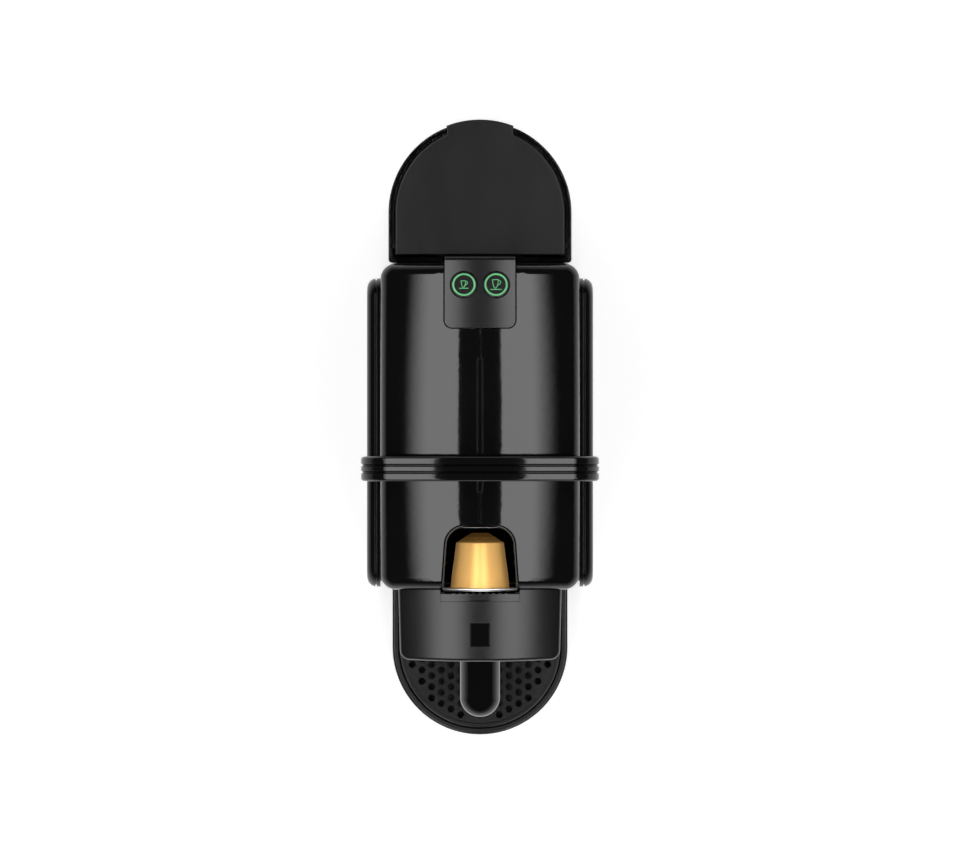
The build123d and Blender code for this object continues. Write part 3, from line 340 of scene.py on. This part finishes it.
def finish(name, colour, roughness, grain_mm=0.4, grain_depth=0.1, worn=None, edge_mm=0.4, dust=0.15,
           smear=0.05, patch=0.25, **shader_values):
    """A material with grain, smears, rubbed edges and dust, returned with the parts to build on."""
    material, tree, shader = new_material(name)
    for key, value in shader_values.items():
        shader.inputs[key.replace("_", " ")].default_value = value

    grain = add_group(tree, grain_group, Grain_size_mm=grain_mm)
    edge = add_group(tree, edge_group, Width=edge_mm * MM)
    specks = add_group(tree, dust_group, Amount=dust)
    smears = add_group(tree, smear_group)

    worn = worn or tuple(min(1.0, c * WORN_GAIN + WORN_LIFT) for c in colour)
    paler = tuple(min(1.0, c * (1.0 + patch) + 0.001) for c in colour)
    tone = blend_colour(tree, grain.outputs["Tone"], colour, paler)
    tone = blend_colour(tree, maths(tree, "MULTIPLY", edge.outputs["Edge"], EDGE_TINT), tone, worn)
    tone = blend_colour(tree, specks.outputs["Dust"], tone, DUST_COLOUR)
    join(tree, tone, shader.inputs["Base Color"])

    dulled = maths(tree, "MULTIPLY", smears.outputs["Smear"], smear)
    rough = maths(tree, "ADD", roughness, dulled)
    dusty = maths(tree, "MULTIPLY", specks.outputs["Dust"], DUST_ROUGHNESS)
    rough = maths(tree, "ADD", rough, dusty)
    polished = maths(tree, "MULTIPLY", edge.outputs["Edge"], roughness * EDGE_POLISH)
    rough = maths(tree, "SUBTRACT", rough, polished, clamp=True)
    join(tree, rough, shader.inputs["Roughness"])

    rounded = place(tree, "ShaderNodeBevel", samples=BEVEL_SAMPLES, radius=edge_mm * MM)
    bump = place(tree, "ShaderNodeBump", strength=grain_depth, distance=grain_mm * MM * GRAIN_RELIEF)
    join(tree, grain.outputs["Height"], bump.inputs["Height"])
    join(tree, rounded.outputs[0], bump.inputs["Normal"])
    join(tree, bump.outputs[0], shader.inputs["Normal"])
    return {"material": material, "tree": tree, "shader": shader, "bump": bump,
            "tone": tone, "rough": rough}


LINE_DEPTH_MM = 0.05


def rule_lines(made, squeeze, depth=0.15, contrast=0.2):
    """Lays drawn lines over a finish: on its bump and, faintly, on its roughness."""
    tree = made["tree"]
    lines = add_group(tree, line_group, Squeeze=squeeze)
    bump = place(tree, "ShaderNodeBump", strength=depth, distance=LINE_DEPTH_MM * MM)
    join(tree, lines.outputs["Height"], bump.inputs["Height"])
    join(tree, made["bump"].outputs[0], bump.inputs["Normal"])
    join(tree, bump.outputs[0], made["shader"].inputs["Normal"])
    streaks = maths(tree, "MULTIPLY", lines.outputs["Tone"], contrast)
    rough = maths(tree, "ADD", made["rough"], streaks, clamp=True)
    join(tree, rough, made["shader"].inputs["Roughness"])
    return made


print("finish helper ready")


# %% [markdown]
# ## Black plastics
# The housing, the lever and the spout are polished piano black: nearly no colour of their own, all
# looks come from a clean reflection, with only a trace of waviness. The head, lid, panel, keys and
# tray are the same plastic from a textured mould, so they are satin. Inner parts and the base are
# plain matte.


# %% Make the black plastics
def gloss_black():
    return finish("gloss black", (0.0022, 0.0022, 0.0025), 0.045, grain_mm=5.0, grain_depth=0.01,
                  edge_mm=0.35, dust=0.012, smear=0.02, patch=0.2)["material"]


def satin_black():
    return finish("satin black", (0.0045, 0.0045, 0.005), 0.19, grain_mm=0.28, grain_depth=0.1,
                  edge_mm=0.3, dust=0.015, smear=0.03)["material"]


def matte_black():
    return finish("matte black", (0.009, 0.009, 0.0095), 0.5, grain_mm=0.5, grain_depth=0.3,
                  edge_mm=0.3, dust=0.05, smear=0.06)["material"]


finishes = {"gloss_black": gloss_black(), "satin_black": satin_black(), "matte_black": matte_black()}
print("black plastics:", sorted(finishes))


# %% [markdown]
# ## Smoked tank, rubber and silicone
# The tank is clear plastic with a smoke tint. It is glass to the shader: full transmission, a grey
# colour that deepens where light crosses two walls, and faint mould flow in its roughness. The feet
# and the cord gland are matte rubber that picks up dust. The hoses are milky silicone.


# %% Make the tank plastic, the rubber and the silicone
def smoked_plastic():
    return finish("smoked plastic", (0.11, 0.115, 0.125), 0.04, grain_mm=9.0, grain_depth=0.03,
                  edge_mm=0.4, dust=0.02, smear=0.03, worn=(0.2, 0.2, 0.21), Transmission_Weight=1.0,
                  IOR=1.49)["material"]


def rubber():
    return finish("soft rubber", (0.018, 0.018, 0.018), 0.78, grain_mm=0.35, grain_depth=0.35,
                  edge_mm=0.5, dust=0.25, smear=0.05)["material"]


def silicone():
    return finish("milky silicone", (0.62, 0.60, 0.55), 0.42, grain_mm=1.2, grain_depth=0.05,
                  dust=0.05, Subsurface_Weight=0.25, Subsurface_Scale=0.002)["material"]


finishes.update(smoked_plastic=smoked_plastic(), rubber=rubber(), silicone=silicone())
print("tank, feet and hoses ready")


# %% [markdown]
# ## Metals
# Pressed steel, turned brass and cast aluminium differ in their lines and grain more than in their
# colour. The pod is drawn aluminium with a gold lacquer: its lines run from rim to tip, the way the
# sheet was stretched, and the stepped end is a browner gold because the lacquer is thicker there.
# Its foil is pale and a bit wrinkled. Squeezes are in streaks per metre along each axis.


# %% Make the metals
def steel():
    made = finish("brushed steel", (0.55, 0.55, 0.56), 0.26, grain_mm=0.8, grain_depth=0.04,
                  edge_mm=0.3, dust=0.05, worn=(0.8, 0.8, 0.8), Metallic=1.0)
    return rule_lines(made, (60.0, 5000.0, 5000.0))["material"]


def brass():
    made = finish("turned brass", (0.70, 0.50, 0.20), 0.25, grain_mm=1.0, grain_depth=0.05,
                  Metallic=1.0)
    return rule_lines(made, (4000.0, 4000.0, 200.0))["material"]


def cast_aluminium():
    return finish("cast aluminium", (0.56, 0.56, 0.55), 0.48, grain_mm=0.7, grain_depth=0.5,
                  edge_mm=0.5, worn=(0.75, 0.75, 0.75), Metallic=1.0)["material"]


DOME_LENGTH_MM = 4.5
BROWN_LACQUER = (0.42, 0.20, 0.04)


def gold_aluminium():
    made = finish("gold aluminium", (0.80, 0.46, 0.14), 0.34, grain_mm=1.6, grain_depth=0.03,
                  edge_mm=0.15, dust=0.02, smear=0.04, patch=0.06, worn=(0.98, 0.84, 0.56),
                  Metallic=0.8)
    tree = made["tree"]
    step_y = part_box("pod_shell")[1].y - DOME_LENGTH_MM * MM
    beyond = above(tree, split_axes(tree, position(tree)).outputs["Y"], step_y, 3000.0)
    tone = blend_colour(tree, maths(tree, "MULTIPLY", beyond, 0.85), made["tone"], BROWN_LACQUER)
    join(tree, tone, made["shader"].inputs["Base Color"])
    return rule_lines(made, (5000.0, 50.0, 5000.0), depth=0.2, contrast=0.14)["material"]


def pale_foil():
    made = finish("pale foil", (0.86, 0.84, 0.78), 0.3, grain_mm=3.0, grain_depth=0.25, dust=0.02,
                  worn=(0.95, 0.94, 0.9), Metallic=0.9)
    return rule_lines(made, (3000.0, 3000.0, 90.0), depth=0.1)["material"]


metals = {"steel": steel(), "brass": brass(), "cast_aluminium": cast_aluminium(),
          "gold_foil": gold_aluminium(), "pale_foil": pale_foil()}
finishes.update(metals)
print("metals:", sorted(metals))


# %% [markdown]
# ## Inside parts and lights
# The boards get copper tracks from a brick pattern under green lacquer. Coils, meter and frame are
# plain engineering plastics. The two keys have a light guide ring and a cup symbol that glow green,
# a little uneven, because one small lamp lights each of them from below.


# %% Make the inside finishes and the key light
def circuit_board():
    made = finish("circuit board", (0.012, 0.10, 0.04), 0.3, grain_mm=2.0, grain_depth=0.05)
    tree = made["tree"]
    turned = place(tree, "ShaderNodeMapping")
    turned.inputs["Rotation"].default_value = (0.0, math.radians(90), 0.0)
    tracks = place(tree, "ShaderNodeTexBrick", scale=160.0)
    tracks.inputs["Mortar Size"].default_value = 0.06
    join(tree, position(tree), turned.inputs["Vector"])
    join(tree, turned.outputs[0], tracks.inputs["Vector"])
    tone = blend_colour(tree, tracks.outputs["Fac"], made["tone"], (0.10, 0.26, 0.09))
    join(tree, tone, made["shader"].inputs["Base Color"])
    return made["material"]


def plain_plastic(name, colour, roughness):
    return finish(name, colour, roughness, grain_mm=0.5, grain_depth=0.2, dust=0.08)["material"]


def green_light():
    made = finish("lit green guide", (0.08, 0.35, 0.14), 0.35, grain_mm=0.6, grain_depth=0.05,
                  dust=0.0, Emission_Strength=0.32)
    tree = made["tree"]
    patches = add_group(tree, grain_group, Grain_size_mm=1.5, Patch_size_mm=7.0)
    uneven = above(tree, patches.outputs["Tone"], 0.3, 2.2)
    glow = blend_colour(tree, uneven, (0.03, 0.30, 0.08), (0.28, 0.85, 0.38))
    join(tree, glow, made["shader"].inputs["Emission Color"])
    return made["material"]


finishes.update(
    circuit_board=circuit_board(),
    coil_plastic=plain_plastic("coil plastic", (0.04, 0.04, 0.043), 0.45),
    grey_frame=plain_plastic("frame plastic", (0.17, 0.17, 0.18), 0.5),
    cage_plastic=plain_plastic("cage plastic", (0.035, 0.035, 0.04), 0.5),
    green_light=green_light(),
)
print("finishes in all:", len(finishes))


# %% [markdown]
# ## Dress the CAD pieces
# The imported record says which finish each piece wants, by the name of its material slot. A CAD
# piece keeps its exact mesh and only has its material swapped.


# %% Assign each piece its finish
slot_of = {part["node"]: part["material_slot"] for part in frame["record"]["subparts"]}
for name, piece in frame["nodes"].items():
    piece.data.materials.clear()
    piece.data.materials.append(finishes[slot_of[name]])
print("dressed:", len(slot_of), "pieces")


# %% [markdown]
# ## The pod
# The pod is a turned shape, so a profile swept round its axis gives it with a clean, even mesh. A
# modifier could sweep it too, but a short loop with bmesh leaves a plain mesh that an exporter
# takes as it is. A second helper gives the points of a rounded corner, so that beads and shoulders
# are smooth.


# %% A helper that turns a profile round an axis along Y
def turned_mesh(name, profile, centre_x, centre_z, material, steps=128):
    """Sweeps (distance along Y, radius) points round the Y direction through (centre_x, centre_z)."""
    mesh = bpy.data.meshes.new(name)
    shape = bmesh.new()
    rings = []
    for y, radius in profile:
        ring = []
        for i in range(steps):
            angle = math.tau * i / steps
            x = centre_x + radius * math.cos(angle)
            ring.append(shape.verts.new((x, y, centre_z + radius * math.sin(angle))))
        rings.append(ring)
    for ring, following in zip(rings, rings[1:]):
        for i in range(steps):
            j = (i + 1) % steps
            shape.faces.new((ring[i], ring[j], following[j], following[i]))
    shape.faces.new(rings[0])
    shape.faces.new(list(reversed(rings[-1])))
    bmesh.ops.recalc_face_normals(shape, faces=shape.faces)
    shape.to_mesh(mesh)
    shape.free()
    mesh.polygons.foreach_set("use_smooth", [True] * len(mesh.polygons))
    return add_object(name, mesh, material)


def arc_points(centre_y, centre_r, radius, start_deg, end_deg, count):
    """Points of a rounded corner in (y, radius) space."""
    points = []
    for i in range(count + 1):
        angle = math.radians(start_deg + (end_deg - start_deg) * i / count)
        points.append((centre_y + radius * math.cos(angle), centre_r + radius * math.sin(angle)))
    return points


print("profile turning ready")

# %% [markdown]
# The real pod is a cup drawn from thin aluminium: a rolled rim, a slightly bulging conical wall, a
# tight shoulder, then a stepped end with a shallow ring. The profile runs from the rim to the tip
# in that order, as pairs of a distance along the pod and a radius. The cup stands for the plain CAD
# pod, within the same box.

# %% Turn the pod from its profile
pod_low, pod_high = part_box("pod_shell")
pod_x = (pod_low.x + pod_high.x) / 2
pod_z = (pod_low.z + pod_high.z) / 2
rim_r = (pod_high.x - pod_low.x) / 2
front_y, tip_y = pod_low.y, pod_high.y
bead = 0.55 * MM
shoulder_y = tip_y - 4.6 * MM


def points_from(start_y, pairs_mm):
    """Profile points from pairs in millimetres: how far past a start, and the radius."""
    return [(start_y + along * MM, radius * MM) for along, radius in pairs_mm]


# Flange, with a rolled bead round it
pod_profile = [(front_y + 0.05 * MM, rim_r - 3.0 * MM)]
pod_profile += arc_points(front_y + bead, rim_r - bead, bead, 180, 0, 10)
pod_profile += [(front_y + 0.75 * MM, rim_r - 1.5 * MM)]
# Inside corner of the flange, then the conical wall
pod_profile += points_from(front_y, [(0.7, 15.9)])
pod_profile += arc_points(front_y + 1.3 * MM, 15.75 * MM, 0.55 * MM, 200, 275, 5)
pod_profile += points_from(front_y, [(2.6, 15.0), (8.0, 14.45), (15.0, 13.45)])
# Shoulder and the sloping step past it
pod_profile += points_from(shoulder_y, [(-1.4, 12.35)])
pod_profile += arc_points(shoulder_y - 0.9 * MM, 11.5 * MM, 0.8 * MM, 78, 12, 6)
pod_profile += points_from(shoulder_y, [(-0.1, 11.2), (0.2, 10.9), (2.2, 8.0), (2.5, 7.7),
                                        (2.6, 7.3)])
# Tip, with a shallow ring in it
pod_profile += points_from(tip_y, [(-0.8, 5.4), (-0.35, 4.5), (-0.1, 3.9), (-0.12, 2.4), (-0.5, 2.0),
                                   (-0.55, 0.3)])
pod_cup = turned_mesh("pod_cup", pod_profile, pod_x, pod_z, finishes["gold_foil"])
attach(pod_cup, "pod")
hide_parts("pod_shell")
print("pod cup:", len(pod_profile), "profile points, rim radius", round(rim_r / MM, 2), "mm")

# %% [markdown]
# The rolled rim shows as a thin bright line all the way round. That line is a painted highlight:
# the bead is near-white metal instead of the gold, so it is a piece of its own: a fine bead turned
# over the edge of the flange.

# %% Turn the bright rim
RIM_PROUD, RIM_DEEP = 0.03 * MM, 0.12 * MM
rim_profile = arc_points(front_y + bead, rim_r - bead, bead + RIM_PROUD, 200, -20, 14)
rim_profile += arc_points(front_y + bead, rim_r - bead, bead - RIM_DEEP, -20, 200, 14)
# Near-white colour on the rim bead: a painted highlight standing in for the light the rolled edge catches.
rim_highlight_metal = finish("rim painted highlight", (0.93, 0.92, 0.89), 0.4, grain_mm=1.0, grain_depth=0.03, dust=0.0,
                    edge_mm=0.1, worn=(1.0, 0.99, 0.96), Metallic=1.0)["material"]
pod_rim = turned_mesh("pod_rim", rim_profile, pod_x, pod_z, rim_highlight_metal)
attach(pod_rim, "pod")
print("rim bead radius:", round(bead / MM, 2), "mm")


# %% [markdown]
# ## Cup symbols on the keys
# Each key shows a plain line drawing of a cup on a saucer, small on the left and large on the
# right. On the real key it is part of the light guide, flush with the cap. A curve with a fine
# round bevel is an easy way to draw it, and one function draws both at their own size, lying on the
# tilted face of the cap.


# %% Find a key's face
RING_HALF = 0.65 * MM


def key_face(key):
    """Centre of a key's cap face, the two axes that lie in it and the one that leaves it."""
    joint = next(j for j in frame["joints"] if j["child"] == key)
    normal = -Vector(joint["axis"]).normalized()
    ring_low, ring_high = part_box(key.replace("_key", "_light_ring"))
    centre = (ring_low + ring_high) / 2 + normal * RING_HALF
    right = Vector((1.0, 0.0, 0.0))
    return centre, right, normal.cross(right), normal


print("the small cup's key faces", [round(v, 2) for v in key_face("small_cup_key")[3]])

# %% [markdown]
# The drawing is four strokes: the cup's side and bottom, its rim, its handle and the saucer. Each
# is a smooth curve through a few points given as shares of the symbol's width and height, sunk a
# little into the cap.


# %% Draw the cup symbols
SINK = 0.35


def cup_symbol(name, key, width, height, line):
    """A line drawing of a cup in the plane of a key's cap, moving with the key."""
    centre, right, up, normal = key_face(key)
    half = width / 2
    cup_right = half * 0.42
    strokes = [
        [(-half * 0.62, height * 0.5), (-half * 0.5, -height * 0.1), (-half * 0.22, -height * 0.38),
         (0.0, -height * 0.38), (half * 0.25, -height * 0.1), (cup_right, height * 0.5)],
        [(-half * 0.62, height * 0.5), (cup_right, height * 0.5)],
        [(cup_right * 0.95, height * 0.42), (half * 0.85, height * 0.4), (half * 0.7, height * 0.02),
         (half * 0.28, -height * 0.06)],
        [(-half, -height * 0.5), (half * 0.95, -height * 0.5)],
    ]
    curve = bpy.data.curves.new(name, "CURVE")
    curve.dimensions = "3D"
    curve.bevel_depth = line / 2
    curve.bevel_resolution = 2
    curve.resolution_u = 6
    for stroke in strokes:
        spline = curve.splines.new("NURBS")
        spline.points.add(len(stroke) - 1)
        for point, (a, b) in zip(spline.points, stroke):
            place_at = centre + right * a + up * b - normal * line * SINK
            point.co = (*place_at, 1.0)
        spline.order_u = 3
        spline.use_endpoint_u = True
    symbol = add_object(name, curve, finishes["green_light"])
    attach(symbol, key)
    return symbol


cup_symbol("small_cup_symbol", "small_cup_key", 4.8 * MM, 3.9 * MM, 0.42 * MM)
cup_symbol("large_cup_symbol", "large_cup_key", 6.0 * MM, 5.1 * MM, 0.46 * MM)
print("cup symbols drawn")


# %% [markdown]
# ## Floor, light and surroundings
# The machine stands on a seamless white table. A black glossy body shows the room more than itself,
# so the light is built from what should be mirrored: two long soft panels overhead with a dark gap
# between them, a dark ceiling, and a pale horizon. The panels fade on their outer side, as fabric
# softboxes do.

# %% Lay the floor
FLOOR_HALF, FLOOR_DROP = 6.0, 0.0002
FLOOR_GLOW = 0.6


def flat_panel(name, left, right, front, rear, height, material):
    """A level rectangle, as an object of its own."""
    mesh = bpy.data.meshes.new(name)
    corners = [(left, front, height), (right, front, height),
               (right, rear, height), (left, rear, height)]
    mesh.from_pydata(corners, [], [(0, 1, 2, 3)])
    return add_object(name, mesh, material)


def pale_floor():
    material, tree, shader = new_material("pale table")
    grain = add_group(tree, grain_group, Grain_size_mm=1.5, Patch_size_mm=300.0)
    tone = blend_colour(tree, grain.outputs["Tone"], (0.86, 0.86, 0.86), (0.90, 0.90, 0.90))
    join(tree, tone, shader.inputs["Base Color"])
    shader.inputs["Roughness"].default_value = 0.7
    shader.inputs["Specular IOR Level"].default_value = 0.2
    shader.inputs["Emission Color"].default_value = (1.0, 1.0, 1.0, 1.0)
    shader.inputs["Emission Strength"].default_value = FLOOR_GLOW
    return material


floor = flat_panel("table", -FLOOR_HALF, FLOOR_HALF, -FLOOR_HALF, FLOOR_HALF, -FLOOR_DROP,
                   pale_floor())
print("floor half width:", FLOOR_HALF, "m")

# %% [markdown]
# Each overhead panel is a plane with an emission shader whose strength falls off across its outer
# half. It is hidden from the camera, so other views see only its light and its reflection.

# %% Hang the two overhead panels
PANEL_HEIGHT = 1.5
PANEL_INNER, PANEL_OUTER = 0.178, 0.72
PANEL_FRONT, PANEL_REAR = -1.5, 1.0
PANEL_FADE = 0.28
PANEL_STRENGTH, PANEL_EDGE_STRENGTH = 4.0, 0.05


def panel_light():
    material, tree, _ = new_material("soft panel")
    tree.nodes.clear()
    out = place(tree, "ShaderNodeOutputMaterial")
    glow = place(tree, "ShaderNodeEmission")
    across = maths(tree, "ABSOLUTE", split_axes(tree, position(tree)).outputs["X"])
    fade = place(tree, "ShaderNodeMapRange", interpolation_type="SMOOTHSTEP")
    fade.inputs["From Min"].default_value = PANEL_OUTER
    fade.inputs["From Max"].default_value = PANEL_OUTER - PANEL_FADE
    fade.inputs["To Min"].default_value = PANEL_EDGE_STRENGTH
    fade.inputs["To Max"].default_value = PANEL_STRENGTH
    join(tree, across, fade.inputs["Value"])
    join(tree, fade.outputs[0], glow.inputs["Strength"])
    join(tree, glow.outputs[0], out.inputs["Surface"])
    return material


panel_finish = panel_light()
for side, side_name in ((-1, "left"), (1, "right")):
    panel = flat_panel("soft_panel_" + side_name, side * PANEL_INNER, side * PANEL_OUTER,
                       PANEL_FRONT, PANEL_REAR, PANEL_HEIGHT, panel_finish)
    panel.visible_camera = False
print("panels from", PANEL_INNER, "to", PANEL_OUTER, "m either side")

# %% [markdown]
# The pod hangs inside a black slot, so the overhead panels reach only a narrow stripe of it. Two
# small lamps aimed at it from the sides make up for that. Light linking keeps them to the pod: each
# lamp lights only the pod's pieces, and nothing but those pieces blocks it.

# %% Aim two lamps at the pod
POD_LAMP_POWER = 8.0
LAMP_ASIDE, LAMP_ABOVE = 0.85, 0.45
LAMP_WIDTH, LAMP_LENGTH = 0.5, 0.9
pod_pieces = bpy.data.collections.new("pod pieces")
for piece in (pod_cup, pod_rim):
    pod_pieces.objects.link(piece)
for side, side_name in ((-1, "left"), (1, "right")):
    lamp_data = bpy.data.lights.new("pod lamp", "AREA")
    lamp_data.shape = "RECTANGLE"
    lamp_data.size, lamp_data.size_y = LAMP_WIDTH, LAMP_LENGTH
    lamp_data.energy = POD_LAMP_POWER
    lamp = add_object("pod_lamp_" + side_name, lamp_data)
    away = Vector((side * LAMP_ASIDE, 0.0, LAMP_ABOVE))
    lamp.location = Vector((0.0, pod_low.y, pod_z)) + away
    lamp.rotation_euler = away.to_track_quat("Z", "Y").to_euler()
    lamp.light_linking.receiver_collection = pod_pieces
    lamp.light_linking.blocker_collection = pod_pieces
    lamp.visible_camera = False
print("pod lamps:", POD_LAMP_POWER, "W each")

# %% [markdown]
# The surroundings are a sky with three tones: dark overhead, where the camera and the ceiling are,
# and pale at the horizon, brighter to the left and right than in front and behind. Its direction
# vector is enough to make them: its Z is the height above the horizon, and its X is how far to the
# side it points.


# %% Set the surroundings
BAND_TOP = 0.42


def set_surroundings(overhead, horizon_front, horizon_side):
    """A white sky whose strength depends on the direction: overhead, ahead and to the sides."""
    world = bpy.data.worlds.new("studio")
    bpy.context.scene.world = world
    world.use_nodes = True
    tree = world.node_tree
    sky = tree.nodes["Background"]
    split = split_axes(tree, position(tree, "Generated"))
    rise = maths(tree, "ABSOLUTE", split.outputs["Z"])
    low_band = place(tree, "ShaderNodeMapRange", interpolation_type="SMOOTHSTEP")
    low_band.inputs["From Min"].default_value = BAND_TOP
    low_band.inputs["From Max"].default_value = 0.0
    join(tree, rise, low_band.inputs["Value"])
    aside = maths(tree, "POWER", maths(tree, "ABSOLUTE", split.outputs["X"]), 2.0)
    extra = maths(tree, "MULTIPLY", aside, horizon_side - horizon_front)
    horizon = maths(tree, "ADD", horizon_front, extra)
    lift = maths(tree, "MULTIPLY", low_band.outputs[0], maths(tree, "SUBTRACT", horizon, overhead))
    join(tree, maths(tree, "ADD", lift, overhead), sky.inputs["Strength"])
    sky.inputs["Color"].default_value = (1.0, 1.0, 1.0, 1.0)


set_surroundings(overhead=0.04, horizon_front=0.55, horizon_side=0.75)
bpy.context.scene.view_settings.view_transform = "Standard"
print("surroundings set")

# %% [markdown]
# ## Camera
# The machine is seen from straight above through a very long lens, front towards the bottom of the
# picture. A long lens keeps the body from hiding its own tray and tank behind its height.

# %% Place the camera
CAMERA_HEIGHT = 4.494
CAMERA_SENSOR_MM, CAMERA_LENS_MM = 36.0, 314.06
CAMERA_SHIFT_MM = 3.2
middle = (cad_low + cad_high) / 2
camera_data = bpy.data.cameras.new("overhead camera")
camera_data.sensor_width = CAMERA_SENSOR_MM
camera_data.lens = CAMERA_LENS_MM
camera_data.clip_end = 100.0
camera = add_object("overhead camera", camera_data)
camera.location = (middle.x, middle.y + CAMERA_SHIFT_MM * MM, CAMERA_HEIGHT)
bpy.context.scene.camera = camera
print("camera at", [round(v, 3) for v in camera.location])
